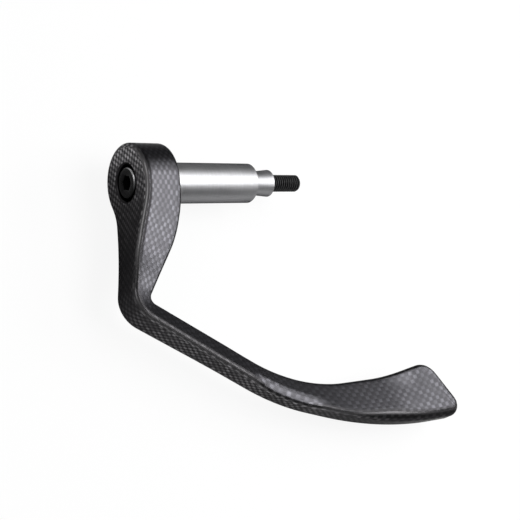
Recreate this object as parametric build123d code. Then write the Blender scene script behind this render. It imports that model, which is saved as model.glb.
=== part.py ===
from build123d import *
import os
from math import cos, radians, sin

# A brake lever guard for the right-hand end of a motorbike's handlebar, in millimetres.
# +X runs along the bar towards the middle of the bike, -Y forwards and +Z up. The origin is on
# the bar's axis, in the plane where the head of the guard meets the end of the bar.

# Clamp bolt, a long socket cap screw; a plain cylinder just under the crests stands for its thread
BOLT_D = 8.0
BOLT_LENGTH = 85.0
THREAD_D = 7.6
THREAD_LENGTH = 17.5
BOLT_TIP_CHAMFER = 1.1
BOLT_HEAD_D = 13.3
BOLT_HEAD_LENGTH = 8.0
BOLT_HEAD_CHAMFER = 0.7
BOLT_HEAD_SUNK = 0.2
SOCKET_ACROSS_FLATS = 6.0
SOCKET_DEPTH = 4.5

# Spacer that enters the bar, with the nose that widens towards its end
SPACER_D = 18.0
SPACER_LENGTH = 46.8
SPACER_EDGE = 0.3
NOSE_ROOT_D = 10.4
NOSE_END_D = 12.5
NOSE_LENGTH = 11.5

# Clearances round the bolt, on the radius
BOLT_CLEARANCE = 0.2
RECESS_CLEARANCE = 1.15

# Broken edge at the mouth of the recess for the bolt's head
RECESS_MOUTH = 0.5

# Round head of the guard
HEAD_R = 17.1
HEAD_LENGTH = 17.1

# Rolled edge all round the guard
EDGE_R = 1.9

# Shank, seen from above: the outer and the inner wall leave the head, and meet the arm at the elbow
OUTER_LEAN_FORWARD = 9.6
OUTER_LEAN_R = 12.0
INNER_LEAN_FORWARD = 13.4
INNER_LEAN_ANGLE = 16.5
INNER_LEAN_RUN = 16.0
INNER_LEAN_R = 12.0
ELBOW_OUTBOARD = 16.0
ELBOW_FORWARD = 57.5
ELBOW_OUTER_R = 12.9
ELBOW_INNER_R = 3.2
ELBOW_INSET = 6.7

# Straight arm, which widens a little, and the sweep that turns it along the bar
ARM_ANGLE = 35.1
ARM_RUN = 79.5
ARM_WIDTH = 8.6
ARM_TAPER = 1.45
ARM_END_R = 111.0
SWEEP_ANGLE = 18.4
SWEEP_RUN = 57.2
SWEEP_R = 196.0
INNER_BEND_R = 83.0

# Paddle, which widens to a raked end
PADDLE_RUN = 51.0
TIP_RAKE = 57.1
TIP_LENGTH = 32.0
TIP_R = 5.5
HEEL_R = 11.2
FLARE_ANGLE = 8.6
FLARE_RUN = 25.7
FLARE_R = 140.0

# Height of the guard, seen along the bar: the round head, the flank that falls from it to the waist,
# the thinning arm and the level paddle
FLANK_ANGLE = 15.5
WAIST_FORWARD = 33.0
WAIST_R = 15.0
LEVEL_FORWARD = 82.0
LEVEL_R = 20.0
PADDLE_HEIGHT = 10.0

# Distance within which two places are taken as one
TOUCHING = 0.001


def forward_point(inboard, forward):
    """A point of the plan, given inboard of the bar's end and forward of its axis."""
    return Vector(inboard, -forward)


def heading(angle):
    """A unit step in the plan, turned forwards from the bar's direction by an angle in degrees."""
    return Vector(cos(radians(angle)), -sin(radians(angle)))


def outer_corners():
    """The corners of the outer wall, from the elbow through the arm and the sweep to the paddle's tip."""
    elbow = forward_point(-HEAD_LENGTH - ELBOW_OUTBOARD, ELBOW_FORWARD)
    arm_end = elbow + heading(ARM_ANGLE) * ARM_RUN
    sweep_end = arm_end + heading(SWEEP_ANGLE) * SWEEP_RUN
    tip = sweep_end + heading(0) * PADDLE_RUN
    return [elbow, arm_end, sweep_end, tip]


def inner_corners(elbow, tip):
    """The corners of the inner wall, from the paddle's heel back to the elbow."""
    heel = tip - heading(TIP_RAKE) * TIP_LENGTH
    throat = heel - heading(-FLARE_ANGLE) * FLARE_RUN
    inner_elbow = elbow + heading(ARM_ANGLE) * ELBOW_INSET + heading(ARM_ANGLE - 90) * ARM_WIDTH
    inner_angle = ARM_ANGLE - ARM_TAPER
    inner_run = (inner_elbow.Y - throat.Y) / sin(radians(inner_angle))
    bend = inner_elbow + heading(inner_angle) * inner_run
    return [heel, throat, bend, inner_elbow]


def guard_plan():
    """The guard's outline seen from above, carried past the back of the head."""
    back = -2 * HEAD_R
    outer = outer_corners()
    inner_lean = forward_point(0, INNER_LEAN_FORWARD)
    outline = FilletPolyline(
        forward_point(-HEAD_LENGTH, back),
        forward_point(-HEAD_LENGTH, OUTER_LEAN_FORWARD),
        *outer,
        *inner_corners(elbow=outer[0], tip=outer[-1]),
        inner_lean + heading(90 + INNER_LEAN_ANGLE) * INNER_LEAN_RUN,
        inner_lean,
        forward_point(0, back),
        radius=[
            OUTER_LEAN_R, ELBOW_OUTER_R, ARM_END_R, SWEEP_R, TIP_R,
            HEEL_R, FLARE_R, INNER_BEND_R, ELBOW_INNER_R, INNER_LEAN_R, INNER_LEAN_R,
        ],
    )
    return make_face([outline, Line(outline @ 1, outline @ 0)])


def guard_side():
    """The guard's outline seen along the bar, carried past the paddle's front edge."""
    slope = radians(FLANK_ANGLE)
    front = outer_corners()[-1].Y - EDGE_R
    shoulder = Vector(-HEAD_R * sin(slope), HEAD_R * cos(slope))
    waist_height = (HEAD_R - WAIST_FORWARD * sin(slope)) / cos(slope)
    upper = FilletPolyline(
        shoulder,
        (-WAIST_FORWARD, waist_height),
        (-LEVEL_FORWARD, PADDLE_HEIGHT / 2),
        (front, PADDLE_HEIGHT / 2),
        radius=[WAIST_R, LEVEL_R],
    )
    lower = mirror(upper, Plane.XZ)
    head = ThreePointArc(upper @ 0, (HEAD_R, 0), lower @ 0)
    return Plane.YZ * make_face([head, upper, lower, Line(upper @ 1, lower @ 1)])


def turned(*profile):
    """A solid of revolution about the bar's axis, from points given along the axis and out from it."""
    return revolve(make_face(Polyline(*profile, close=True)), Axis.X)


def build_guard_arm():
    """The moulded guard: the plan and the side view carried through each other, with rolled edges."""
    height = 4 * HEAD_R
    span = 2 * (HEAD_LENGTH + ELBOW_OUTBOARD + ARM_RUN + SWEEP_RUN + PADDLE_RUN)
    side = guard_side()
    slab = extrude(Pos(0, 0, -height / 2) * guard_plan(), height)
    prism = extrude(Pos(-span / 2, 0, 0) * side, span)
    blank = slab & prism

    def on_band_seam(edge):
        """Whether an edge runs along the bar through a joint of the side view."""
        place = edge.center()
        return any(Vector(0, place.Y - v.Y, place.Z - v.Z).length < TOUCHING for v in side.vertices())

    wall_seams = blank.edges().filter_by(Axis.Z)
    band_seams = blank.edges().filter_by(Axis.X).filter_by(on_band_seam)
    rim = [e for e in blank.edges() if e not in wall_seams and e not in band_seams]
    arm = fillet(rim, EDGE_R)

    outside = -HEAD_LENGTH
    clear = outside - EDGE_R
    seat = outside + BOLT_HEAD_SUNK + BOLT_HEAD_LENGTH
    recess_r = BOLT_HEAD_D / 2 + RECESS_CLEARANCE
    hole_r = BOLT_D / 2 + BOLT_CLEARANCE
    recess = turned(
        (clear, 0),
        (clear, recess_r + RECESS_MOUTH + EDGE_R),
        (outside + RECESS_MOUTH, recess_r),
        (seat, recess_r),
        (seat, hole_r),
        (EDGE_R, hole_r),
        (EDGE_R, 0),
    )
    return arm - recess


def build_bar_spacer():
    """The turned spacer, revolved about the bar's axis."""
    bore = BOLT_D / 2 + BOLT_CLEARANCE
    body = SPACER_D / 2
    end = SPACER_LENGTH + NOSE_LENGTH
    return turned(
        (0, bore),
        (0, body),
        (SPACER_LENGTH - SPACER_EDGE, body),
        (SPACER_LENGTH, body - SPACER_EDGE),
        (SPACER_LENGTH, NOSE_ROOT_D / 2),
        (end, NOSE_END_D / 2),
        (end, bore),
    )


def build_clamp_bolt():
    """The socket cap screw, seated on the floor of the guard's recess."""
    top = -HEAD_LENGTH + BOLT_HEAD_SUNK
    seat = top + BOLT_HEAD_LENGTH
    tip = seat + BOLT_LENGTH
    bolt = turned(
        (top, 0),
        (top, BOLT_HEAD_D / 2 - BOLT_HEAD_CHAMFER),
        (top + BOLT_HEAD_CHAMFER, BOLT_HEAD_D / 2),
        (seat, BOLT_HEAD_D / 2),
        (seat, BOLT_D / 2),
        (tip - THREAD_LENGTH, BOLT_D / 2),
        (tip - THREAD_LENGTH, THREAD_D / 2),
        (tip - BOLT_TIP_CHAMFER, THREAD_D / 2),
        (tip, THREAD_D / 2 - BOLT_TIP_CHAMFER),
        (tip, 0),
    )
    hexagon = RegularPolygon(SOCKET_ACROSS_FLATS / 2, 6, major_radius=False)
    socket = extrude(Plane.YZ.offset(top) * hexagon, SOCKET_DEPTH)
    return bolt - socket


os.makedirs("parts", exist_ok=True)
export_step(build_guard_arm(), "parts/guard_arm.step")
export_step(build_bar_spacer(), "parts/bar_spacer.step")
export_step(build_clamp_bolt(), "parts/clamp_bolt.step")
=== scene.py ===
"""Brake lever guard: a moulded carbon arm on a turned spacer, held by one long bolt, in a pale studio."""
import logging
import math
from dataclasses import dataclass
from enum import Enum
from typing import Any, Sequence

import bmesh
import bpy
import numpy as np
from mathutils import Matrix, Vector


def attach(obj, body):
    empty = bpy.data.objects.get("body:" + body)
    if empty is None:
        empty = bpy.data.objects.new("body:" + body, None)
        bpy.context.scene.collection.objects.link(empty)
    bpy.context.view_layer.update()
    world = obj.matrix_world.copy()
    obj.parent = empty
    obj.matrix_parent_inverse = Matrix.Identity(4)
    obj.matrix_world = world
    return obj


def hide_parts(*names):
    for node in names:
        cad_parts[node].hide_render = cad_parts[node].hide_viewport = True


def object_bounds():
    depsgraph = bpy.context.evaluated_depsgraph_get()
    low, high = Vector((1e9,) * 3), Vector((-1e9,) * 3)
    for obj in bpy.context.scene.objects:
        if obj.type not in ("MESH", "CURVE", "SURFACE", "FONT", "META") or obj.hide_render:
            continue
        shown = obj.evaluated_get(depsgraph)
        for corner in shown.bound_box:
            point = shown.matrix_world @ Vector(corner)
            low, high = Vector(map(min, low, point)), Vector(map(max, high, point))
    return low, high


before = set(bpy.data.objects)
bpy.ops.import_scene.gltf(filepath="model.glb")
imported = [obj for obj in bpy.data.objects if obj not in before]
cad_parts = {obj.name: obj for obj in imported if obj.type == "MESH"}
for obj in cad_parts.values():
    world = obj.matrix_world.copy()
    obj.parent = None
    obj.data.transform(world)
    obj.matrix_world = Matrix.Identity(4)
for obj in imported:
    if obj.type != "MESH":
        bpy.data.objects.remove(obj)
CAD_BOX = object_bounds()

MM = 0.001
WELD = 0.004 * MM
PAST_RIDGE = 50.0
QUARTER = math.pi / 2.0
RISE, FALL = (0.0, 1.0), (1.0, 0.0)
WHITE = (1.0, 1.0, 1.0, 1.0)
LOG = logging.getLogger("brake_lever_guard")

Colour = tuple[float, float, float, float]
Pair = tuple[float, float]
Row = tuple[float, ...]
Grid = np.ndarray
Socket = bpy.types.NodeSocket
Piece = bpy.types.Object


class Slot(Enum):
    """The record's material slots."""

    CARBON = "carbon"
    ALUMINIUM = "turned_aluminium"
    STEEL = "black_steel"


class Lay(Enum):
    """How a surface's own coordinates are named on its mesh."""

    CLOTH = "cloth"
    RIDGE = "ridge"
    SHOW = "show"


class Corner(Enum):
    """Numbers of the outline's rounded corners that the stations take their places from."""

    ELBOW = 1
    ARM_END = 2
    SWEEP_END = 3
    TIP = 4
    HEEL = 5
    INNER_ELBOW = 8


def smooth_step(start: float, end: float, value: Grid) -> Grid:
    """Rise smoothly from 0 where a value is at the start to 1 where it is at the end."""
    part = np.clip((value - start) / (end - start), 0.0, 1.0)
    return part * part * (3.0 - 2.0 * part)


def paired(first: Any, second: Any) -> Grid:
    """Two grids that fit each other, as one grid of pairs."""
    return np.stack(np.broadcast_arrays(first, second), axis=-1)


def circle(x: float, radius: float | Grid, angle: Grid) -> Grid:
    """Points of a ring about the bar's axis."""
    return np.stack(np.broadcast_arrays(x, radius * np.cos(angle), radius * np.sin(angle)), axis=1)


def rim(grid: Grid) -> Grid:
    """The values of a band's grid along its rim, from the head round the paddle and back."""
    return np.concatenate([grid[:, -1], grid[-1, -2:0:-1], grid[::-1, 0]])


def stand(name: str, data: bpy.types.ID) -> Piece:
    """Stand a mesh, a lamp or a camera in the scene.

    Args:
        name: Name of the new object.
        data: What it shows.

    Returns:
        The object.
    """
    thing = bpy.data.objects.new(name, data)
    bpy.context.scene.collection.objects.link(thing)
    return thing


@dataclass(frozen=True)
class Stretch:
    """One stretch of a path: its length, and how fast it turns to the left."""

    length: float
    curvature: float = 0.0

    def follow(self, heading: float, steps: Grid) -> tuple[Grid, Grid]:
        """Follow the stretch.

        Args:
            heading: Direction at its start, in radians.
            steps: Distances from its start.

        Returns:
            How far away from the start the places there are, and the directions there.
        """
        angle = heading + self.curvature * steps
        if not self.curvature:
            return steps[:, None] * np.array([math.cos(heading), math.sin(heading)]), angle
        away = paired(np.sin(angle) - math.sin(heading), math.cos(heading) - np.cos(angle))
        return away / self.curvature, angle


class Path:
    """A flat line made of straight and round stretches."""

    def __init__(self, start: Sequence[float], heading: float, stretches: Sequence[Stretch]) -> None:
        """Lay the stretches end to end.

        Args:
            start: First point.
            heading: Direction there, in radians.
            stretches: Stretches in order.
        """
        self.stretches = list(stretches)
        self.marks = np.concatenate([[0.0], np.cumsum([stretch.length for stretch in self.stretches])])
        self.starts = [(np.array(start, float), heading)]
        for stretch in self.stretches:
            place, bearing = self.starts[-1]
            away, angle = stretch.follow(bearing, np.array([stretch.length]))
            self.starts.append((place + away[0], float(angle[0])))

    @classmethod
    def rounded(cls, corners: Sequence[Sequence[float]], radii: Sequence[float]) -> "Path":
        """Make a path along a polyline with rounded corners.

        Args:
            corners: The polyline's points.
            radii: Radius at each point but the first and last.

        Returns:
            The path.
        """
        points = np.array(corners, float)
        runs = np.diff(points, axis=0)
        headings = np.arctan2(runs[:, 1], runs[:, 0])
        turns = (np.diff(headings) + math.pi) % (2.0 * math.pi) - math.pi
        cuts = [0.0, *(radius * math.tan(abs(turn) / 2.0) for radius, turn in zip(radii, turns)), 0.0]
        straights = [Stretch(length - sum(cuts[i:i + 2])) for i, length in enumerate(np.hypot(*runs.T))]
        arcs = [Stretch(r * abs(turn), math.copysign(1.0 / r, turn)) for r, turn in zip(radii, turns)]
        stretches = [stretch for both in zip(straights, arcs) for stretch in both]
        return cls(points[0], float(headings[0]), [*stretches, straights[-1]])

    @property
    def length(self) -> float:
        """Whole length of the path."""
        return float(self.marks[-1])

    def arc(self, corner: Corner) -> tuple[float, float, float]:
        """Distances to the start, middle and end of a rounded corner."""
        start, end = (float(mark) for mark in self.marks[2 * corner.value + 1:2 * corner.value + 3])
        return start, (start + end) / 2.0, end

    def at(self, distances: Grid) -> tuple[Grid, Grid]:
        """Follow the path.

        Args:
            distances: Distances from its start.

        Returns:
            The points there, and the left-hand unit normals.
        """
        points, normals = np.zeros((2, len(distances), 2))
        number = np.searchsorted(self.marks[1:-1], distances, side="right")
        for index, stretch in enumerate(self.stretches):
            here = np.nonzero(number == index)[0]
            place, heading = self.starts[index]
            away, angle = stretch.follow(heading, distances[here] - self.marks[index])
            points[here] = place + away
            normals[here] = paired(-np.sin(angle), np.cos(angle))
        return points, normals


class Skin:
    """Grids of points with their own surface coordinates, gathered before one mesh is made of them."""

    def __init__(self) -> None:
        """Start with no grid."""
        self.points: list[Grid] = []
        self.faces: list[Grid] = []
        self.lays: dict[Lay, list[Grid]] = {lay: [] for lay in Lay}
        self.count = 0

    def add(self, points: Grid, cloth: Grid, ridge: Grid | Pair = (PAST_RIDGE, 0.0),
            show: Grid | Pair = (0.0, 1.0), closed: bool = False) -> None:
        """Add a grid of points, in millimetres.

        Args:
            points: Rows by columns by (x, forward, z).
            cloth: Rows by columns by the two coordinates along the weave.
            ridge: The distance out across the rolled edge and the seam's strength, at each point or for all.
            show: Two shares, at each point or for all. On the guard they are how bright the walls' weave is
                painted, and how much of the ridge's weave its plain painted colours leave. On the bolt they
                are its wear and its painted glint.
            closed: Whether the last column meets the first; the cloth then has one column more.
        """
        shape = (*points.shape[:2], 2)
        grids = [points, np.broadcast_to(ridge, shape), np.broadcast_to(show, shape)]
        if closed:
            grids = [np.concatenate([grid, grid[:, :1]], axis=1) for grid in grids]
        rows, columns = grids[0].shape[:2]
        self.points.append(grids[0].reshape(-1, 3))
        for lay, grid in zip(Lay, (cloth, *grids[1:])):
            self.lays[lay].append(grid.reshape(-1, 2))
        corner = self.count + np.arange(rows * columns).reshape(rows, columns)
        quads = (corner[:-1, :-1], corner[:-1, 1:], corner[1:, 1:], corner[1:, :-1])
        self.faces.append(np.stack(quads, axis=-1).reshape(-1, 4))
        self.count += rows * columns

    def make(self, name: str, crease: float) -> Piece:
        """Weld the grids into one closed mesh.

        Args:
            name: Name of the piece.
            crease: Angle in degrees from which an edge is sharp.

        Returns:
            The new object.
        """
        points = np.concatenate(self.points) * np.array([1.0, -1.0, 1.0]) * MM
        faces = np.concatenate(self.faces)
        mesh = bpy.data.meshes.new(name)
        mesh.from_pydata(points.tolist(), [], faces.tolist())
        for lay, parts in self.lays.items():
            layer = mesh.uv_layers.new(name=lay.value)
            layer.data.foreach_set("uv", np.concatenate(parts)[faces.ravel()].astype(np.float32).ravel())
        work = bmesh.new()
        work.from_mesh(mesh)
        bmesh.ops.remove_doubles(work, verts=work.verts, dist=WELD)
        bmesh.ops.dissolve_degenerate(work, edges=work.edges, dist=WELD)
        bmesh.ops.recalc_face_normals(work, faces=work.faces)
        work.to_mesh(mesh)
        work.free()
        mesh.shade_smooth()
        mesh.set_sharp_from_angle(angle=math.radians(crease))
        return stand(name, mesh)


class Recipe:
    """The nodes of one finish, linked as they are added."""

    MIX_INPUTS = (0, 6, 7)
    MIX_RESULT = 2
    RAMP_INPUTS = ("Value", "From Min", "From Max", "To Min", "To Max")

    def __init__(self, name: str) -> None:
        """Start a material with a principled shader.

        Args:
            name: Name of the material.
        """
        self.material = bpy.data.materials.new(name)
        self.material.use_nodes = True
        self.tree = self.material.node_tree
        self.tree.nodes.clear()
        self.shader = self.node("ShaderNodeBsdfPrincipled")
        self.surface = self.node("ShaderNodeOutputMaterial").inputs["Surface"]
        self.feed(self.surface, self.shader.outputs[0])

    def feed(self, socket: Socket, value: Any) -> None:
        """Link a socket to another one, or set its value.

        Args:
            socket: The socket to feed.
            value: A value, or the socket to link.
        """
        if isinstance(value, Socket):
            self.tree.links.new(value, socket)
        else:
            socket.default_value = value

    def node(self, kind: str, inputs: dict[str | int, Any] | None = None, **settings: Any) -> bpy.types.Node:
        """Add a node.

        Args:
            kind: Blender's name of the node type.
            inputs: Socket names or numbers, each with a value or the socket to link.
            settings: Properties of the node itself.

        Returns:
            The node.
        """
        node = self.tree.nodes.new(kind)
        for name, value in settings.items():
            setattr(node, name, value)
        for name, value in (inputs or {}).items():
            self.feed(node.inputs[name], value)
        return node

    def math(self, operation: str, *values: Any) -> Socket:
        """Work out one number from sockets or numbers."""
        return self.node("ShaderNodeMath", dict(enumerate(values)), operation=operation).outputs[0]

    def times(self, first: Any, second: Any) -> Socket:
        """Multiply two numbers, given as numbers or sockets."""
        return self.math("MULTIPLY", first, second)

    def ramp(self, value: Socket, span: Pair, results: Pair = RISE) -> Socket:
        """Carry a number smoothly over a span, from the result at its start to the result at its end."""
        inputs = dict(zip(self.RAMP_INPUTS, (value, *span, *results)))
        return self.node("ShaderNodeMapRange", inputs, interpolation_type="SMOOTHSTEP").outputs["Result"]

    def mix(self, factor: Any, first: Any, second: Any) -> Socket:
        """Mix two colours, given as colours or sockets, by the share of the second."""
        inputs = dict(zip(self.MIX_INPUTS, (factor, first, second)))
        return self.node("ShaderNodeMix", inputs, data_type="RGBA").outputs[self.MIX_RESULT]

    def lay(self, lay: Lay) -> tuple[Socket, Socket]:
        """The two coordinates that a mesh carries under a name."""
        place = self.node("ShaderNodeUVMap", uv_map=lay.value).outputs[0]
        return tuple(self.node("ShaderNodeSeparateXYZ", {0: place}).outputs[:2])

    def noise(self, kind: Pair, vector: Socket) -> Socket:
        """Soft noise over a vector, with a scale and a detail."""
        inputs = dict(zip(("Vector", "Scale", "Detail"), (vector, *kind)))
        return self.node("ShaderNodeTexNoise", inputs).outputs[0]

    def joined(self, first: Any, second: Any) -> Socket:
        """A vector of two numbers."""
        return self.node("ShaderNodeCombineXYZ", {0: first, 1: second}).outputs[0]

    def set(self, **sockets: Any) -> None:
        """Set or link the shader's sockets, named with underscores for blanks."""
        for name, value in sockets.items():
            self.feed(self.shader.inputs[name.replace("_", " ")], value)

    def bump(self, height: Socket, depth: float) -> None:
        """Raise the surface by a height of 0 to 1, to a depth in metres."""
        inputs = {"Height": height, "Distance": depth, "Strength": 1.0}
        self.set(Normal=self.node("ShaderNodeBump", inputs).outputs[0])


@dataclass(frozen=True)
class CarbonWeave:
    """Plain-woven carbon under a satin coat, laid along the arm, with painted light and shade: the walls
    have their own lighter or darker copy of the weave, the shank's ridge has a painted highlight band and a
    dark painted line beside it, and plain painted colours cover the ridge. Reaches across the ridge are in
    mm.
    """

    under_tow: Colour = (0.030, 0.0294, 0.0318, 1.0)
    over_tow: Colour = (0.058, 0.0572, 0.0632, 1.0)
    # The walls have their own copy of the weave's colours, lighter or darker than the top's because of the
    # light that falls on them: painted light and shade.
    painted_wall_under_tow: Colour = (0.021, 0.0203, 0.0215, 1.0)
    painted_wall_over_tow: Colour = (0.50, 0.488, 0.503, 1.0)
    # A dark line is painted beside the ridge's seam as the shade of its groove.
    seam: Colour = (0.011, 0.0107, 0.0112, 1.0)
    # A lighter band is painted on the shank's ridge as its highlight. Where it rises and falls across the
    # roll is set below.
    painted_strip_highlight: Colour = (0.11, 0.107, 0.11, 1.0)
    # Plain colours painted over the ridge in place of the weave: a dark one as shade over its highlight, and
    # a lighter one as light at its foot.
    painted_ridge_shade: Colour = (0.018, 0.0175, 0.0183, 1.0)
    painted_ridge_foot_light: Colour = (0.13, 0.1265, 0.131, 1.0)
    edge_tint: Colour = (0.45, 0.45, 0.45, 1.0)
    roughness: Pair = (0.34, 0.30)
    roll_travel: float = 1.8
    foot_reach: Pair = (1.2, 2.1)
    seam_at: float = -0.1
    seam_reach: Pair = (0.1, 0.75)
    strip_rise: Pair = (0.4, 0.7)
    strip_fall: Pair = (2.0, 2.6)
    dot_range: Pair = (-0.35, 0.65)
    dimmest_dot: float = 0.35
    fibre_noise: Pair = (1.0, 2.0)
    fibre_range: Pair = (0.35, 0.75)
    fibre_share: float = 0.22
    fibre_height: float = 0.05
    fibres_per_cell: float = 14.0
    pillow_depth: float = 0.015 * MM

    def make(self) -> bpy.types.Material:
        """Build the material.

        Returns:
            The material.
        """
        recipe = Recipe("carbon_weave")
        along, across = recipe.lay(Lay.CLOTH)
        outward, seamed = recipe.lay(Lay.RIDGE)
        painted_wall_light, light = recipe.lay(Lay.SHOW)
        place = recipe.joined(along, across)
        over = recipe.node("ShaderNodeTexChecker", {"Vector": place, "Scale": 1.0}).outputs["Fac"]
        waves = [recipe.math("SINE", recipe.times(value, math.pi)) for value in (along, across)]
        waved = recipe.times(*waves)
        cell = recipe.joined(recipe.math("FLOOR", along), recipe.math("FLOOR", across))
        chance = recipe.node("ShaderNodeTexWhiteNoise", {"Vector": cell}, noise_dimensions="2D")
        dimming = recipe.ramp(chance.outputs["Value"], RISE, (self.dimmest_dot, 1.0))
        lift = recipe.times(recipe.ramp(waved, self.dot_range), dimming)
        fine_along, fine_across = (recipe.times(value, self.fibres_per_cell) for value in (along, across))
        long_way = recipe.noise(self.fibre_noise, recipe.joined(along, fine_across))
        cross_way = recipe.noise(self.fibre_noise, recipe.joined(fine_along, across))
        fibre = recipe.math("MULTIPLY_ADD", recipe.math("SUBTRACT", long_way, cross_way), over, cross_way)

        # Past the ridge the walls use their painted copy of the weave. The painted wall light sets how
        # bright its over cells are.
        wall = recipe.ramp(outward, (0.0, self.roll_travel))
        under = recipe.mix(wall, self.under_tow, self.painted_wall_under_tow)
        painted_wall_over = recipe.mix(painted_wall_light, self.painted_wall_under_tow, self.painted_wall_over_tow)
        over_colour = recipe.mix(wall, self.over_tow, painted_wall_over)
        cloth = recipe.mix(lift, under, over_colour)
        strands = recipe.ramp(fibre, self.fibre_range, (0.0, self.fibre_share))
        fibred = recipe.mix(strands, cloth, over_colour)
        # Painted shade: a dark line along the seam's groove beside the ridge.
        beside = recipe.math("ABSOLUTE", recipe.math("SUBTRACT", outward, self.seam_at))
        line = recipe.times(recipe.ramp(beside, self.seam_reach, FALL), seamed)
        # Painted highlight: a lighter band across the shank's ridge.
        rise, fall = recipe.ramp(outward, self.strip_rise), recipe.ramp(outward, self.strip_fall, FALL)
        stripped = recipe.mix(recipe.times(recipe.times(rise, fall), seamed), fibred, self.painted_strip_highlight)
        # Painted shade over the ridge's highlight, fading to painted light at its foot.
        plain = recipe.mix(recipe.ramp(outward, self.foot_reach), self.painted_ridge_shade, self.painted_ridge_foot_light)
        rough, smooth = self.roughness
        recipe.set(
            # Where the ridge is painted, its plain colours replace the weave.
            Base_Color=recipe.mix(light, plain, recipe.mix(line, stripped, self.seam)),
            Roughness=recipe.math("MULTIPLY_ADD", lift, smooth - rough, rough),
            Metallic=1.0,
            Specular_Tint=self.edge_tint,
        )
        pillow = recipe.math("ABSOLUTE", waved)
        recipe.bump(recipe.math("MULTIPLY_ADD", fibre, self.fibre_height, pillow), self.pillow_depth)
        return recipe.material


@dataclass(frozen=True)
class TurnedAluminium:
    """Bright aluminium with the fine rings that a lathe leaves."""

    metal: Colour = (0.30, 0.30, 0.308, 1.0)
    worn: Colour = (0.25, 0.25, 0.257, 1.0)
    edge_tint: Colour = (0.0, 0.0, 0.0, 1.0)
    roughness: Pair = (0.40, 0.46)
    rings_per_mm: float = 5.0
    ring_drift: float = 0.02
    ring_noise: Pair = (1.0, 3.0)
    ring_range: Pair = (0.3, 0.8)
    ring_depth: float = 0.008 * MM
    patch_noise: Pair = (0.22, 2.0)
    patch_range: Pair = (0.3, 0.7)

    def make(self) -> bpy.types.Material:
        """Build the material.

        Returns:
            The material.
        """
        recipe = Recipe("turned_aluminium")
        along, round_about = recipe.lay(Lay.CLOTH)
        drawn_out = recipe.times(along, self.rings_per_mm), recipe.times(round_about, self.ring_drift)
        rings = recipe.noise(self.ring_noise, recipe.joined(*drawn_out))
        patches = recipe.noise(self.patch_noise, recipe.joined(along, round_about))
        recipe.set(
            Base_Color=recipe.mix(recipe.ramp(rings, self.ring_range), self.metal, self.worn),
            Metallic=1.0,
            Specular_Tint=self.edge_tint,
            Roughness=recipe.ramp(patches, self.patch_range, self.roughness),
        )
        recipe.bump(rings, self.ring_depth)
        return recipe.material


@dataclass(frozen=True)
class BlackSteel:
    """Blackened steel, a little brighter where it has rubbed, on its grain and on the thread's crests. A
    glint is painted as light metal on one side of the head's rim.
    """

    black: Colour = (0.002, 0.002, 0.0022, 1.0)
    rubbed: Colour = (0.006, 0.006, 0.0064, 1.0)
    # Light metal, used for wear on the thread's crests and for the glint painted on the head's rim.
    bare_and_glint: Colour = (0.7, 0.7, 0.71, 1.0)
    roughness: Pair = (0.17, 0.25)
    gloss: float = 0.05
    grain_noise: Pair = (3.5, 4.0)
    grain_range: Pair = (0.45, 0.8)
    grain_depth: float = 0.012 * MM
    cloud_noise: Pair = (0.5, 2.0)
    cloud_range: Pair = (0.3, 0.7)

    def make(self) -> bpy.types.Material:
        """Build the material.

        Returns:
            The material.
        """
        recipe = Recipe("black_steel")
        place = recipe.joined(*recipe.lay(Lay.CLOTH))
        grain = recipe.noise(self.grain_noise, place)
        clouds = recipe.noise(self.cloud_noise, place)
        # The share of light metal: wear on the thread's crests, and a glint painted on one side of the
        # head's rim.
        worn = recipe.lay(Lay.SHOW)[0]
        grained = recipe.mix(recipe.ramp(grain, self.grain_range), self.black, self.rubbed)
        recipe.set(
            Base_Color=recipe.mix(worn, grained, self.bare_and_glint),
            Metallic=worn,
            Roughness=recipe.ramp(clouds, self.cloud_range, self.roughness),
            Specular_IOR_Level=self.gloss,
        )
        recipe.bump(grain, self.grain_depth)
        return recipe.material


@dataclass(frozen=True)
class Course:
    """A value that changes smoothly along the guard.

    Its places are counted in spans from the bar's axis: -1 is the back of the head, 1 the elbow's start,
    2 its end, 3 the arm's end, 4 the sweep's end, 5 the tip's start and 6 the tip's middle.
    """

    places: Row
    values: Row


@dataclass(frozen=True)
class Flank:
    """One side of the guard at each station: its wall in the plan, the way out and the distance along it."""

    wall: Grid
    out: Grid
    travelled: Grid


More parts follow.
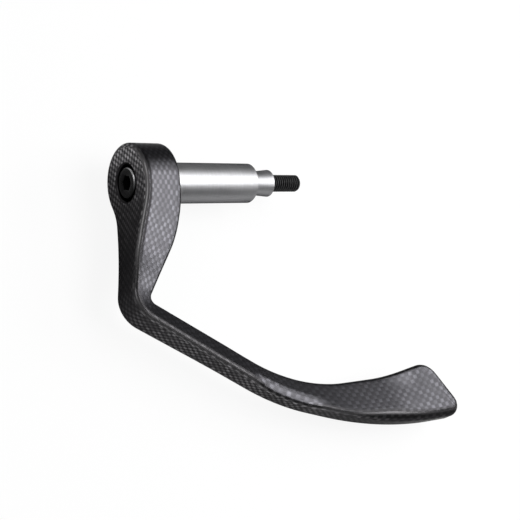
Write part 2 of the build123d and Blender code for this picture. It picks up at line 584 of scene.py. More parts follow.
@dataclass
class Guard:
    """The moulded guard, from the round head through shank and elbow to the paddle, in mm and degrees."""

    head_r: float = 17.1
    head_length: float = 17.1
    edge_r: float = 1.9
    outer_lean_forward: float = 9.6
    outer_lean_r: float = 34.5
    inner_lean_forward: float = 13.4
    inner_lean_angle: float = 16.5
    inner_lean_run: float = 16.0
    inner_lean_r: float = 45.0
    elbow_outboard: float = 16.0
    elbow_forward: float = 57.5
    elbow_outer_r: float = 12.9
    elbow_inner_r: float = 3.2
    elbow_inset: float = 6.7
    arm_angle: float = 35.1
    arm_run: float = 79.5
    arm_width: float = 8.6
    arm_taper: float = 1.45
    arm_end_r: float = 111.0
    sweep_angle: float = 18.4
    sweep_run: float = 57.2
    sweep_r: float = 196.0
    inner_bend_r: float = 83.0
    paddle_run: float = 51.0
    tip_rake: float = 57.1
    tip_length: float = 32.0
    tip_r: float = 5.5
    heel_r: float = 11.2
    flare_angle: float = 8.6
    flare_run: float = 25.7
    flare_r: float = 140.0
    flank_angle: float = 15.5
    waist_forward: float = 33.0
    waist_r: float = 138.0
    level_forward: float = 82.0
    level_r: float = 120.0
    paddle_height: float = 10.0
    recess_r: float = 7.8
    recess_lip: float = 1.0
    recess_depth: float = 8.2
    bolt_hole_r: float = 4.2
    ring_forward: float = 12.5
    cant: Course = Course((0.66, 1.2, 2.6, 3.05, 4.0, 4.9), (0.0, 26.0, 26.0, 20.0, 15.0, 0.0))
    pivot: Course = Course((0.9, 1.6, 2.5, 3.0), (0.25, 0.45, 0.45, 0.78))
    sag: Course = Course((0.7, 1.0, 1.05, 1.9), (0.0, 0.5, 0.5, 0.0))
    bevel: Course = Course((2.65, 2.98, 3.1, 3.5), (0.0, 1.0, 1.0, 0.0))
    bevel_angle: float = 17.0
    bevel_width: float = 2.0
    front_r: Course = Course((3.5, 4.1), (1.9, 4.2))
    # Painted light on the weave: on the head's round wall, along the walls by place, and stronger on the
    # rolled edges.
    head_painted_light: float = 0.75
    painted_wall_light: Course = Course((0.0, 0.8, 1.4, 2.2, 3.2, 4.0), (0.30, 0.05, 0.06, 0.29, 0.29, 0.05))
    roll_painted_light: float = 1.5
    # How much of the ridge's weave is left under its painted plain colours at each place, and over which
    # travel that paint fades out.
    ridge_unpainted: Course = Course(
        (1.02, 1.38, 2.75, 2.95, 3.1, 3.4, 4.6), (1.0, 0.08, 0.08, 1.0, 1.0, 0.12, 0.5),
    )
    ridge_reach: Pair = (1.9, 3.4)
    seam: Course = Course((-0.65, 0.0, 0.6, 1.1917), (0.0, 1.0, 1.0, 0.0))
    seam_width: float = 0.8
    seam_depth: float = 0.12
    groove_places: Row = (0.75, 0.5, 0.25, 0.0)
    groove_depths: Row = (0.55, 1.0, 0.55, 0.0)
    cell_growth: Course = Course((1.0, 4.0), (0.0, 1.0))
    shank_cell: Pair = (1.9, 1.3)
    paddle_cell: Pair = (2.3, 1.95)
    wall_cell: Pair = (1.6, 1.4)
    crease: float = 52.0
    rear_steps: int = 20
    span_steps: tuple[int, ...] = (46, 24, 44, 34, 34, 16)
    across_steps: int = 10
    roll_steps: int = 7
    wall_steps: int = 12
    ring_steps: int = 6
    lip_steps: int = 4
    side_samples: int = 6000
    facing_samples: int = 2000

    def heading(self, angle: float) -> Grid:
        """A unit step in the plan, turned forwards from the bar's direction by an angle in degrees."""
        return np.array([math.cos(math.radians(angle)), math.sin(math.radians(angle))])

    def outline(self) -> Path:
        """The plan's outline, from the outboard side of the head round the paddle to its inboard side.

        Returns:
            The path, in (x, forward).
        """
        elbow = np.array([-self.head_length - self.elbow_outboard, self.elbow_forward])
        arm_end = elbow + self.heading(self.arm_angle) * self.arm_run
        sweep_end = arm_end + self.heading(self.sweep_angle) * self.sweep_run
        tip = sweep_end + self.heading(0.0) * self.paddle_run
        heel = tip - self.heading(self.tip_rake) * self.tip_length
        throat = heel - self.heading(-self.flare_angle) * self.flare_run
        inner_elbow = elbow + self.heading(self.arm_angle) * self.elbow_inset
        inner_elbow = inner_elbow + self.heading(self.arm_angle - 90.0) * self.arm_width
        inner_angle = self.arm_angle - self.arm_taper
        inner_run = (throat[1] - inner_elbow[1]) / math.sin(math.radians(inner_angle))
        bend = inner_elbow + self.heading(inner_angle) * inner_run
        inner_lean = np.array([0.0, self.inner_lean_forward])
        second_lean = inner_lean + self.heading(90.0 + self.inner_lean_angle) * self.inner_lean_run
        corners = [
            (-self.head_length, 0.0), (-self.head_length, self.outer_lean_forward), elbow, arm_end,
            sweep_end, tip, heel, throat, bend, inner_elbow, second_lean, inner_lean, (0.0, 0.0),
        ]
        radii = [
            self.outer_lean_r, self.elbow_outer_r, self.arm_end_r, self.sweep_r, self.tip_r, self.heel_r,
            self.flare_r, self.inner_bend_r, self.elbow_inner_r, self.inner_lean_r, self.inner_lean_r,
        ]
        return Path.rounded(corners, radii)

    def side(self) -> Path:
        """The upper outline seen along the bar, from the back of the head to the paddle's front.

        Returns:
            The path, in (forward, z).
        """
        slope = math.radians(self.flank_angle)
        shoulder = (self.head_r * math.sin(slope), self.head_r * math.cos(slope))
        waist = (self.head_r - self.waist_forward * math.sin(slope)) / math.cos(slope)
        front = self.elbow_forward + self.arm_run + self.sweep_run
        level = self.paddle_height / 2.0
        corners = [shoulder, (self.waist_forward, waist), (self.level_forward, level), (front, level)]
        flank = Path.rounded(corners, [self.waist_r, self.level_r])
        back = Stretch(self.head_r * (QUARTER + slope), -1.0 / self.head_r)
        return Path((-self.head_r, 0.0), QUARTER, [back, *flank.stretches])

    def build(self) -> Piece:
        """Build the guard's mesh."""
        return GuardMould(self).cast()


class GuardMould:
    """The guard's surface, laid out in grids: the broad bands, rolled edges, walls and the recess."""

    def __init__(self, guard: Guard) -> None:
        """Sample the guard's outlines.

        Args:
            guard: The guard's sizes.
        """
        self.guard = guard
        self.outline = guard.outline()
        self.skin = Skin()
        side = guard.side()
        upper, up = side.at(np.linspace(0.0, side.length, guard.side_samples))
        self.side_table = np.concatenate([upper - guard.edge_r * up, up], axis=1)
        self.stations()
        small, large = np.array(guard.shank_cell), np.array(guard.paddle_cell)
        self.cell = small + self.along(guard.cell_growth)[:, None] * (large - small)

    def nearest(self, distance: float, low: float, high: float) -> float:
        """The distance along the outline, between two others, of the place nearest to a given place.

        Args:
            distance: Distance of the given place.
            low: Least distance to try.
            high: Greatest distance to try.

        Returns:
            The nearest place's distance.
        """
        tried = np.linspace(low, high, self.guard.facing_samples)
        away = self.outline.at(tried)[0] - self.outline.at(np.array([distance]))[0]
        return float(tried[np.argmin(np.hypot(*away.T))])

    def stations(self) -> None:
        """Pair places on the outer wall with places on the inner wall, from the head to the paddle's end."""
        guard, line = self.guard, self.outline
        elbow, arm_end, sweep_end, tip, heel, inner_elbow = (line.arc(corner) for corner in Corner)
        facing = [self.nearest(arc[1], heel[2], inner_elbow[0]) for arc in (arm_end, sweep_end)]
        outer = [0.0, elbow[0], elbow[2], arm_end[1], sweep_end[1], tip[0], tip[1]]
        inner = [line.length, inner_elbow[2], inner_elbow[0], *facing, heel[2], heel[1]]
        self.end_at = (heel[1], tip[1])
        self.spans = np.concatenate([[0], np.cumsum(guard.span_steps)])
        self.station = np.arange(-guard.rear_steps, self.spans[-1] + 1)
        self.turn = np.linspace(0.0, QUARTER, guard.rear_steps, endpoint=False)
        self.outer = self.flank(outer, -guard.head_length, -1.0)
        self.inner = self.flank(inner, 0.0, 1.0)

    def flank(self, marks: Sequence[float], rear_x: float, way: float) -> Flank:
        """Follow a wall from the back of the head to the paddle's end.

        Args:
            marks: Distances along the outline at the ends of the spans.
            rear_x: Place of the wall along the bar, behind the bar's axis.
            way: 1 if the wall there faces inboard, -1 if outboard.

        Returns:
            The flank.
        """
        guard = self.guard
        distances = np.interp(self.station[guard.rear_steps:], self.spans, marks)
        rear = -(guard.head_r - guard.edge_r) * np.cos(self.turn)
        wall, out = self.outline.at(distances)
        return Flank(
            np.concatenate([paired(rear_x, rear), wall]),
            np.concatenate([np.tile([way, 0.0], (len(rear), 1)), out]),
            np.concatenate([rear, np.abs(distances - distances[0])]),
        )

    def along(self, course: Course) -> Grid:
        """The value of a course at every station.

        Args:
            course: The course.

        Returns:
            One value for each station, those behind the bar's axis included.
        """
        places = np.interp(course.places, np.arange(-1, len(self.spans)), [self.station[0], *self.spans])
        first = np.clip(np.searchsorted(places, self.station, side="right") - 1, 0, len(places) - 2)
        part = smooth_step(0.0, 1.0, (self.station - places[first]) / np.diff(places)[first])
        values = np.array(course.values)
        return values[first] + part * np.diff(values)[first]

    def lifted(self, raised: Grid) -> tuple[Grid, Grid]:
        """Raise centres of the rolled edge from the plan to their height.

        Args:
            raised: How much higher than the side view they lie, at each station and column.

        Returns:
            The centres and the upward normals of the band above them.
        """
        guard, table, rear = self.guard, self.side_table, self.guard.rear_steps
        forward = self.plan[..., 1]
        height = np.interp(forward, table[:, 0], table[:, 1]) + raised
        height[:rear] = ((guard.head_r - guard.edge_r) * np.sin(self.turn))[:, None]
        tilt = np.interp(forward, table[:, 0], table[:, 2])
        tilt[:rear] = -np.cos(self.turn)[:, None]
        normal = np.stack([np.zeros_like(forward), tilt, np.sqrt(1.0 - tilt ** 2)], axis=-1)
        return np.concatenate([self.plan, height[..., None]], axis=-1), normal

    def moulding(self) -> Grid:
        """How much higher than the side view the top of the guard lies, at each station and column.

        Returns:
            The heights: the arm's top falls inwards, the elbow's falls outwards, and the sweep has a bevel.
        """
        guard = self.guard
        rise = np.tan(np.radians(self.along(guard.cant)))
        canted = (rise * self.width)[:, None] * (self.share - self.along(guard.pivot)[:, None])
        bevel = smooth_step(0.0, 1.0, self.along(guard.bevel))
        fall = bevel * (math.tan(math.radians(guard.bevel_angle)) + rise)
        past = np.maximum((self.share - 1.0) * self.width[:, None] + guard.bevel_width, 0.0)
        return canted - self.along(guard.sag)[:, None] * self.share - fall[:, None] * past

    def cast(self) -> Piece:
        """Lay out all the grids and weld them."""
        self.walls(*(self.half(up) for up in (1.0, -1.0)))
        return self.skin.make("guard_shell", self.guard.crease)

    def lay_out(self, front_r: Grid) -> None:
        """Place the cross-lines of a band, and the weave on them.

        Args:
            front_r: Radius of the rolled edge along the outer wall at each station.
        """
        guard, r = self.guard, self.guard.edge_r
        plan_outer = self.outer.wall - front_r[:, None] * self.outer.out
        plan_inner = self.inner.wall - r * self.inner.out
        self.width = np.hypot(*(plan_outer - plan_inner).T)
        self.inward = (plan_inner - plan_outer) / self.width[:, None]

        seam = guard.seam_width / self.width[:, None]
        even = np.linspace(0.0, 1.0, guard.across_steps + 1)
        self.share = np.concatenate([even * (1.0 - seam), 1.0 - seam * guard.groove_places], axis=1)
        self.plan = plan_inner[:, None] + self.share[..., None] * (plan_outer - plan_inner)[:, None]
        self.roll_r = r + self.share * (front_r - r)[:, None]
        end_at = self.end_at[0] + self.share[-1] * (self.end_at[1] - self.end_at[0])
        end_wall, self.end_out = self.outline.at(end_at)
        self.plan[-1] = end_wall - self.roll_r[-1][:, None] * self.end_out

        middle = (plan_outer + plan_inner) / 2.0
        stretch = np.hypot(*np.diff(middle, axis=0).T)
        stretch[: guard.rear_steps] = guard.head_r * QUARTER / guard.rear_steps
        ahead = np.gradient(middle, axis=0)
        ahead /= np.hypot(*ahead.T)[:, None]
        offset = self.plan - middle[:, None]
        along = np.einsum("ijk,ik->ij", offset, ahead)
        across = offset[..., 0] * -ahead[:, None, 1] + offset[..., 1] * ahead[:, None, 0]
        rate = np.cumsum(stretch / (0.5 * (self.cell[1:, 0] + self.cell[:-1, 0])))
        self.cloth = paired(along, across) / self.cell[:, None]
        self.cloth[1:, :, 0] += rate[:, None]

    def half(self, up: float) -> Grid:
        """Add the band and the rolled edge of the upper or the lower half.

        Args:
            up: 1 for the upper half, which is moulded along the arm, and -1 for the lower.

        Returns:
            The edge where the rolled edge meets the wall.
        """
        guard = self.guard
        self.lay_out(self.along(guard.front_r) if up > 0.0 else np.full(len(self.station), guard.edge_r))
        raised = self.moulding() if up > 0.0 else np.zeros_like(self.share)
        centre, normal = self.lifted(raised - self.roll_r + guard.edge_r)
        steep = np.gradient(raised, axis=1) / np.gradient(self.share * self.width[:, None], axis=1)
        normal[..., :2] += steep[..., None] * self.inward[:, None]
        normal /= np.linalg.norm(normal, axis=-1)[..., None]
        groove = np.zeros(self.share.shape[1])
        groove[-len(guard.groove_depths):] = guard.groove_depths
        seam = self.along(guard.seam)[:, None]
        band = centre + normal * (self.roll_r - guard.seam_depth * groove * seam)[..., None]
        flip = np.array([1.0, 1.0, up])
        self.skin.add(band * flip, self.cloth, paired(-(1.0 - self.share) * self.width[:, None], seam))
        return self.roll(centre, normal, seam, flip)

    def roll(self, centre: Grid, normal: Grid, seam: Grid, flip: Grid) -> Grid:
        """Add the rolled edge round a band.

        Args:
            centre: Centres of the roll, at each station and column of the band.
            normal: The band's normals there.
            seam: How deep the seam beside the ridge is at each station.
            flip: 1 or -1 for each axis, which turns the lower half over.

        Returns:
            The edge where the roll meets the wall.
        """
        guard, count, end_count = self.guard, len(self.station), self.share.shape[1] - 2
        above, radius = rim(normal), rim(self.roll_r)[:, None]
        out = np.concatenate([self.outer.out, self.end_out[-2:0:-1], self.inner.out[::-1]])
        out = np.pad(out, ((0, 0), (0, 1)))
        cell = np.concatenate([self.cell, np.tile(self.cell[-1], (end_count, 1)), self.cell[::-1]])
        sideways = np.repeat([1.0, 0.0, -1.0], [count, end_count, count])[:, None]
        part = np.linspace(0.0, 1.0, guard.roll_steps + 1)[None]
        spread = np.arccos(np.clip(np.einsum("ij,ij->i", above, out), -1.0, 1.0))[:, None]
        first, second = np.sin((1.0 - part) * spread), np.sin(part * spread)
        way = first[..., None] * above[:, None] + second[..., None] * out[:, None]
        points = (rim(centre)[:, None] + (radius / np.sin(spread))[..., None] * way) * flip
        travel = part * spread * radius
        shift = paired(travel * (1.0 - np.abs(sideways)), travel * sideways) / cell[:, None]
        # Painted shade and light on the ridge: these shares say how much of the weave its plain painted
        # colours cover.
        filled = np.zeros((len(out) - count, 1))
        ridge_paint_share = np.concatenate([1.0 - self.along(guard.ridge_unpainted)[:, None], filled])
        light = 1.0 - ridge_paint_share * (1.0 - smooth_step(*guard.ridge_reach, travel))
        # The rolled edges also carry the painted wall light, made stronger here.
        painted_wall_light = np.minimum(guard.roll_painted_light * self.painted_wall_light_at(len(out))[:, None], 1.0)
        ridge = paired(travel, np.concatenate([seam, filled]))
        self.skin.add(points, rim(self.cloth)[:, None] + shift, ridge, paired(painted_wall_light, light))
        return points[:, -1]

    def walls(self, top: Grid, bottom: Grid) -> None:
        """Add the upright walls between the two rolled edges, with the recess and the bolt's hole.

        Args:
            top: Upper edge of the walls, from the head round the paddle and back.
            bottom: Lower edge.
        """
        guard, count = self.guard, len(self.station)
        end_steps = np.hypot(*np.diff(top[count - 1:-count + 1, :2], axis=0).T)
        wall_at = np.concatenate([self.outer.travelled, self.outer.travelled[-1] + np.cumsum(end_steps)])
        back = self.inner.travelled[-1] - self.inner.travelled[-2::-1]
        wall_at = np.concatenate([wall_at, wall_at[-1] + back])
        part = np.linspace(0.0, 1.0, guard.wall_steps + 1)[None, :, None]
        wall = top[:, None] * (1.0 - part) + bottom[:, None] * part
        cloth = paired(wall_at[:, None], wall[..., 2]) / guard.wall_cell
        ring = guard.rear_steps + int(np.argmax(self.outer.wall[guard.rear_steps:, 1] > guard.ring_forward))
        keep = slice(ring, len(top) - ring)
        # The walls carry the painted wall light, which makes their weave lighter or darker by place.
        show = paired(self.painted_wall_light_at(len(top))[:, None], np.ones(part.size))
        self.skin.add(wall[keep], cloth[keep], show=show[keep])
        outboard = np.arange(ring + 1)
        inboard = len(top) - 1 - outboard
        mouth = self.disc(wall[outboard], wall_at[outboard], guard.recess_r + guard.recess_lip)
        exit_hole = self.disc(wall[inboard], wall_at[inboard], guard.bolt_hole_r)
        self.recess(mouth, exit_hole)

    def painted_wall_light_at(self, count: int) -> Grid:
        """How bright the walls' weave is painted, at a number of places from the head round and back:
        painted light and shade on the walls.
        """
        outer = self.along(self.guard.painted_wall_light)
        return np.concatenate([outer, np.full(count - len(outer), self.guard.painted_wall_light.values[-1])])

    def disc(self, wall: Grid, wall_at: Grid, hole: float) -> Grid:
        """Add the round wall of the head, between its rim and a hole on the bar's axis.

        Args:
            wall: Rows of the wall from the back of the head to the shank.
            wall_at: Distance of each row along the wall.
            hole: Radius of the hole.

        Returns:
            The points round the hole.
        """
        guard = self.guard
        loop = np.concatenate([wall[:, 0], wall[-1, 1:-1], wall[:0:-1, -1]])
        angle = np.arctan2(loop[:, 2], loop[:, 1])
        part = np.linspace(0.0, 1.0, guard.ring_steps + 1)[:, None, None]
        flat = loop[:, 1:] * (1.0 - part) + hole * paired(np.cos(angle), np.sin(angle)) * part
        x = np.interp(flat[..., 0], wall[:, 0, 1], wall[:, 0, 0])
        points = np.concatenate([x[..., None], flat], axis=-1)
        at = np.interp(flat[..., 0], wall[:, 0, 1], wall_at)
        cloth = paired(at, flat[..., 1]) / guard.wall_cell
        wrapped = np.concatenate([cloth, cloth[:, :1]], axis=1)
        # The head's round wall has its own painted wall light, which blends into the walls' value towards
        # the shank.
        share = smooth_step(-guard.head_r, guard.ring_forward, flat[..., 0])
        painted_wall_light = guard.head_painted_light + share * (guard.painted_wall_light.values[0] - guard.head_painted_light)
        self.skin.add(points, wrapped, show=paired(painted_wall_light, 1.0), closed=True)
        return points[-1]

    def recess(self, mouth: Grid, exit_hole: Grid) -> None:
        """Add the lip, the wall and the floor of the bolt's recess, and the hole through the head.

        Args:
            mouth: Points round the lip, on the outboard wall.
            exit_hole: Points round the hole, on the inboard wall.
        """
        guard, lip = self.guard, self.guard.recess_lip
        angle = np.arctan2(mouth[:, 2], mouth[:, 1])
        floor = guard.recess_depth - guard.head_length
        rows = [mouth]
        for bend in np.linspace(0.0, QUARTER, guard.lip_steps + 1)[1:]:
            x = lip * (1.0 - math.cos(bend)) - guard.head_length
            rows.append(circle(x, guard.recess_r + lip * (1.0 - math.sin(bend)), angle))
        rows += [circle(floor, radius, angle) for radius in (guard.recess_r, guard.bolt_hole_r)]
        rows.append(exit_hole)
        turns = np.append(angle, angle[0]) * guard.recess_r / guard.wall_cell[0]
        self.skin.add(np.array(rows), paired(turns, np.arange(len(rows))[:, None]), closed=True)


class Lathe:
    """A round piece about the bar's axis, made of rings that need not be circles."""

    FILLET_STEPS = 4

    def __init__(self, segments: int) -> None:
        """Start with no ring, and with a number of points for each."""
        self.angle = np.linspace(0.0, 2.0 * math.pi, segments, endpoint=False)
        self.rings: list[tuple[Grid, Grid]] = []

    def ring(self, x: float, radius: float | Grid, worn: float | Grid = 0.0) -> None:
        """Add a ring at a place along the axis, made light metal by a share of 0 to 1. This share is wear on
        the thread's crests and a painted glint on the head's rim.
        """
        self.rings.append((circle(x, radius, self.angle), np.broadcast_to(worn, self.angle.shape)))

    def fillet(self, x: float, radius: float, size: float, start: float, end: float) -> None:
        """Add the rings of a rounded edge.

        Args:
            x: Place of the round's centre along the axis.
            radius: Distance of the centre from the axis.
            size: Radius of the round.
            start: First direction, in degrees from outwards towards +X.
            end: Last direction.
        """
        for bend in np.radians(np.linspace(start, end, self.FILLET_STEPS + 1)):
            self.ring(x + size * math.sin(bend), radius + size * math.cos(bend))

    def make(self, name: str, crease: float, closed: bool = False) -> Piece:
        """Make the piece.

        Args:
            name: Name of the piece.
            crease: Angle in degrees from which an edge is sharp.
            closed: Whether the last ring meets the first.

        Returns:
            The piece.
        """
        rings = self.rings + self.rings[:1] if closed else self.rings
        # Each point's share of light metal: wear on the thread's crests, and a painted glint on the head's
        # rim.
        points, worn = (np.array(part) for part in zip(*rings))
        radii = np.hypot(points[..., 1], points[..., 2])
        step = np.linalg.norm(np.diff(points.mean(axis=1), axis=0), axis=1)
        step += np.abs(np.diff(radii.mean(axis=1)))
        along = np.append(0.0, np.cumsum(step))
        turn = np.append(self.angle, 2.0 * math.pi) * radii.max()
        skin = Skin()
        skin.add(points, paired(along[:, None], turn), show=paired(worn, 1.0), closed=True)
        return skin.make(name, crease)


@dataclass
class Spacer:
    """The turned spacer that enters the bar, with the nose that widens towards its end. Sizes in mm."""

    body_r: float = 9.0
    length: float = 46.8
    edge: float = 0.3
    nose_root_r: float = 5.2
    nose_end_r: float = 6.25
    nose_length: float = 11.5
    bore_r: float = 4.2
    seat_edge: float = 0.15
    body_rings: Row = (11.7, 23.4, 35.1)
    crease: float = 35.0
    segments: int = 144

    def build(self) -> Piece:
        """Build the spacer's mesh.

        Returns:
            The spacer.
        """
        lathe = Lathe(self.segments)
        end = self.length + self.nose_length
        edge, seat = self.edge, self.seat_edge
        lathe.ring(0.0, self.bore_r)
        lathe.fillet(seat, self.body_r - seat, seat, -90.0, 0.0)
        for x in self.body_rings:
            lathe.ring(x, self.body_r)
        lathe.fillet(self.length - edge, self.body_r - edge, edge, 0.0, 90.0)
        lathe.fillet(self.length + edge, self.nose_root_r + edge, edge, -90.0, -180.0)
        lathe.fillet(end - edge, self.nose_end_r - edge, edge, 0.0, 90.0)
        lathe.ring(end, self.bore_r + edge)
        lathe.ring(end - edge, self.bore_r)
        return lathe.make("spacer_body", self.crease, closed=True)


@dataclass
class Bolt:
    """The long socket cap screw, in mm and degrees. Its wear on the thread's crests and the glint painted on
    one side of its head's rim are shares of 0 to 1.
    """

    top: float = -16.9
    head_r: float = 6.65
    head_length: float = 8.0
    head_round: float = 0.7
    # A glint is painted as light metal round one side of the head's rim. These values set its bends,
    # strength, side and narrowness.
    rim_bends: Row = (25.0, 45.0, 65.0, 90.0)
    rim_glints: Row = (0.6, 1.0, 0.6, 0.0)
    rim_turn: float = -0.25
    rim_narrowing: int = 4
    seat_round: float = 0.25
    socket_flat_r: float = 3.0
    socket_depth: float = 4.5
    socket_bevel: float = 0.35
    drill_r: float = 2.76
    drill_depth: float = 0.9
    shank_r: float = 4.0
    length: float = 85.0
    thread_length: float = 17.5
    run_out: float = 0.5
    run_in: float = 1.875
    crest_r: float = 3.95
    root_r: float = 3.30
    pitch: float = 1.25
    tooth_root: float = 0.12
    tooth_flank: float = 0.72
    tip_chamfer: float = 1.1
    thread_end_r: float = 2.7
    crest_wear: float = 0.06
    worn_from_r: float = 3.6
    crease: float = 50.0
    rings_per_turn: int = 12
    segments: int = 96

    def hexagon(self, angle: Grid) -> Grid:
        """Radius of the socket, with corners fore and aft, at each angle."""
        sixth = math.pi / 3.0
        return self.socket_flat_r / np.cos(np.mod(angle, sixth) - sixth / 2.0)

    def build(self) -> Piece:
        """Build the bolt's mesh.

        Returns:
            The bolt.
        """
        lathe = Lathe(self.segments)
        seat = self.top + self.head_length
        tip = seat + self.length
        start = tip - self.thread_length
        floor = self.top + self.socket_depth
        socket = self.hexagon(lathe.angle)
        lathe.ring(floor + self.drill_depth, 0.0)
        lathe.ring(floor, self.drill_r)
        lathe.ring(floor, socket)
        lathe.ring(self.top + self.socket_bevel, socket)
        lathe.ring(self.top, self.socket_flat_r / math.cos(math.pi / 6.0) + self.socket_bevel / 2.0)
        rim_r = self.head_r - self.head_round
        lathe.ring(self.top, rim_r)
        # Painted glint: light metal only on one side of the head's rim.
        bright = np.clip(np.sin(lathe.angle + self.rim_turn), 0.0, 1.0) ** self.rim_narrowing
        for bend, wear in zip(np.radians(self.rim_bends), self.rim_glints):
            x = self.top + self.head_round * (1.0 - math.cos(bend))
            lathe.ring(x, rim_r + self.head_round * math.sin(bend), wear * bright)
        lathe.fillet(seat - self.seat_round, self.head_r - self.seat_round, self.seat_round, 0.0, 90.0)
        lathe.ring(seat, self.shank_r)
        lathe.ring(start - self.run_out, self.shank_r)
        count = int(self.thread_length / self.pitch * self.rings_per_turn)
        for x in np.linspace(start, tip, count + 1):
            radius = self.thread_radius(x, lathe.angle, start, tip)
            lathe.ring(x, radius, self.crest_wear * smooth_step(self.worn_from_r, self.crest_r, radius))
        lathe.ring(tip, 0.0)
        return lathe.make("bolt_body", self.crease)

    def thread_radius(self, x: float, angle: Grid, start: float, tip: float) -> Grid:
        """Radius round a ring of the thread.

        Args:
            x: Place of the ring along the axis.
            angle: Angles round the ring.
            start: Where the thread starts.
            tip: Where the bolt ends.

        Returns:
            The radii.
        """
        place = np.mod(x / self.pitch - angle / (2.0 * math.pi), 1.0)
        tooth = np.clip((1.0 - np.abs(2.0 * place - 1.0) - self.tooth_root) / self.tooth_flank, 0.0, 1.0)
        depth = (self.crest_r - self.root_r) * smooth_step(0.0, self.run_in, np.array(x - start))
        chamfer = (tip - x) * (self.crest_r - self.thread_end_r) / self.tip_chamfer
        return np.minimum(self.crest_r - depth * (1.0 - tooth), self.thread_end_r + chamfer)


@dataclass(frozen=True)
class Softbox:
    """A soft lamp: the direction it stands in, its size and strength, how far off it is and its aim."""

    name: str
    towards: tuple[float, float, float]
    size: Pair
    level: float
    distance: float = 0.9
    aim: tuple[float, float, float] = (0.04, -0.05, 0.0)

    def hang(self) -> None:
        """Hang the lamp, facing the object; its level is the brightness that its face shows."""
        width, height = self.size
        lamp = bpy.data.lights.new(self.name, "AREA")
        lamp.shape = "RECTANGLE"
        lamp.size, lamp.size_y = width, height
        lamp.energy = self.level * math.pi * width * height
        way = Vector(self.towards).normalized()
        across = (Vector((1.0, 0.0, 0.0)) - way * way.x).normalized()
        turn = Matrix((across, way.cross(across), way)).transposed()
        place = Matrix.Translation(Vector(self.aim) + way * self.distance)
        stand(self.name, lamp).matrix_world = place @ turn.to_4x4()


@dataclass(frozen=True)
class Studio:
    """The pale floor, the even light all round and the soft lamps."""

    floor_size: float = 60.0
    floor_tones: Pair = (0.6, 0.62)
    floor_noise: Pair = (40.0, 2.0)
    floor_roughness: float = 0.9
    even_light: float = 0.25
    shown_white: float = 0.9
    mirrored_white: float = 0.15
    boxes: tuple[Softbox, ...] = (
        Softbox("key_box", (0.36, -0.12, 0.92), (0.46, 0.62), 10.0),
        Softbox("rear_box", (0.42, 0.40, 0.82), (0.34, 0.40), 3.5),
        Softbox("left_box", (-0.75, 0.28, 0.60), (0.30, 0.50), 3.5),
        Softbox("right_box", (0.84, 0.05, 0.54), (0.36, 0.60), 8.0),
    )

    def build(self) -> None:
        """Lay the floor and hang the lights."""
        low, half = CAD_BOX[0].z, self.floor_size / 2.0
        mesh = bpy.data.meshes.new("studio_floor")
        corners = [(x * half, y * half, low) for x, y in ((-1, -1), (1, -1), (1, 1), (-1, 1))]
        mesh.from_pydata(corners, [], [(0, 1, 2, 3)])
        mesh.materials.append(self.floor_finish())
        floor = stand("studio_floor", mesh)
        world = bpy.data.worlds.new("studio_world")
        world.use_nodes = True
        sky = world.node_tree.nodes["Background"]
        sky.inputs["Color"].default_value = WHITE
        sky.inputs["Strength"].default_value = self.even_light
        bpy.context.scene.world = world
        for box in self.boxes:
            box.hang()

    def floor_finish(self) -> bpy.types.Material:
        """A pale floor that reads as white and keeps a soft shadow.

        Returns:
            The floor's material.
        """
        recipe = Recipe("pale_floor")
        grain = recipe.noise(self.floor_noise, recipe.node("ShaderNodeTexCoord").outputs["Object"])
        pale = recipe.mix(grain, *((tone, tone, tone, 1.0) for tone in self.floor_tones))
        recipe.set(Base_Color=pale, Roughness=self.floor_roughness, Specular_IOR_Level=0.0)
        seen = recipe.node("ShaderNodeLightPath").outputs
        mirrored = recipe.math("MAXIMUM", seen["Is Glossy Ray"], seen["Is Transmission Ray"])
        direct = recipe.times(seen["Is Camera Ray"], self.shown_white)
        shown = recipe.math("MULTIPLY_ADD", mirrored, self.mirrored_white, direct)
        glow = recipe.node("ShaderNodeEmission", {"Color": WHITE, "Strength": 1.0})
        inputs = {0: shown, 1: recipe.shader.outputs[0], 2: glow.outputs[0]}
        recipe.feed(recipe.surface, recipe.node("ShaderNodeMixShader", inputs).outputs[0])
        return recipe.material


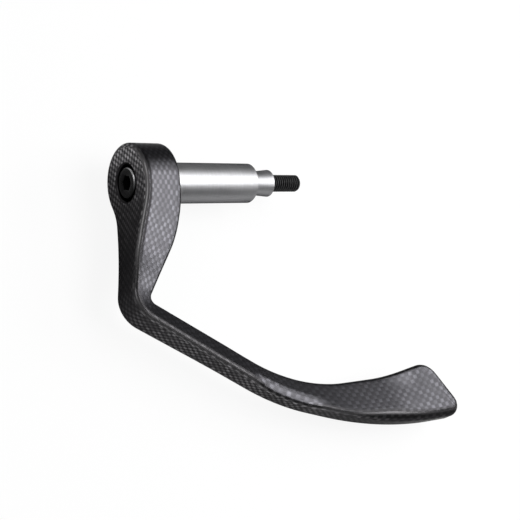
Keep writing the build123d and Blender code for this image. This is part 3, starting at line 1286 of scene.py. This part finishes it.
@dataclass(frozen=True)
class PhotoCamera:
    """The camera where the photograph was taken from."""

    image_side: float = 520.0
    focal_pixels: float = 1100.0
    bar_vanishing_pixel: Pair = (1710.0, 186.6)
    roll_about_bar: float = 22.0
    bolt_face_from_camera: tuple[float, float, float] = (-56.7, -32.6, 465.8)
    bolt_face_x: float = -16.9
    sensor: float = 36.0
    clip_start: float = 0.01

    def place(self) -> None:
        """Set the camera up in the part's own frame."""
        sideways, downwards = (pixel - self.image_side / 2.0 for pixel in self.bar_vanishing_pixel)
        bar = Vector((sideways, downwards, self.focal_pixels)).normalized()
        down = Vector((0.0, 1.0, 0.0))
        first = (down - bar * down.dot(bar)).normalized()
        second = -bar.cross(first)
        angle = math.radians(self.roll_about_bar)
        forward = first * math.cos(angle) + second * math.sin(angle)
        up = second * math.cos(angle) - first * math.sin(angle)
        turn = Matrix((bar, -forward, up))
        shift = Vector(self.bolt_face_from_camera) - bar * self.bolt_face_x
        eye = -(turn @ shift) * MM
        flip = Matrix.Diagonal((1.0, -1.0, -1.0))
        lens = bpy.data.cameras.new("photo_camera")
        lens.sensor_fit = "HORIZONTAL"
        lens.sensor_width = self.sensor
        lens.lens = self.focal_pixels / self.image_side * self.sensor
        lens.clip_start = self.clip_start
        camera = stand("photo_camera", lens)
        camera.matrix_world = Matrix.Translation(eye) @ (turn @ flip).to_4x4()
        bpy.context.scene.camera = camera


def fit(piece: Piece, node: str, finish: bpy.types.Material) -> None:
    """Put a visible piece in a solid's place.

    Args:
        piece: The visible piece.
        node: The solid's name.
        finish: The piece's material.
    """
    piece.data.materials.append(finish)
    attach(piece, "root")
    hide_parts(node)
    LOG.info("%s stands for %s with %d faces", piece.name, node, len(piece.data.polygons))


def write_sizes() -> None:
    """Update the view layer."""
    bpy.context.view_layer.update()


def main() -> None:
    """Build the guard, the spacer and the bolt, and set the studio up round them."""
    logging.basicConfig(level=logging.INFO)
    bpy.context.scene.view_settings.view_transform = "Standard"
    fit(Guard().build(), "guard_arm", CarbonWeave().make())
    fit(Spacer().build(), "bar_spacer", TurnedAluminium().make())
    fit(Bolt().build(), "clamp_bolt", BlackSteel().make())
    Studio().build()
    PhotoCamera().place()
    write_sizes()


if __name__ == "__main__":
    main()
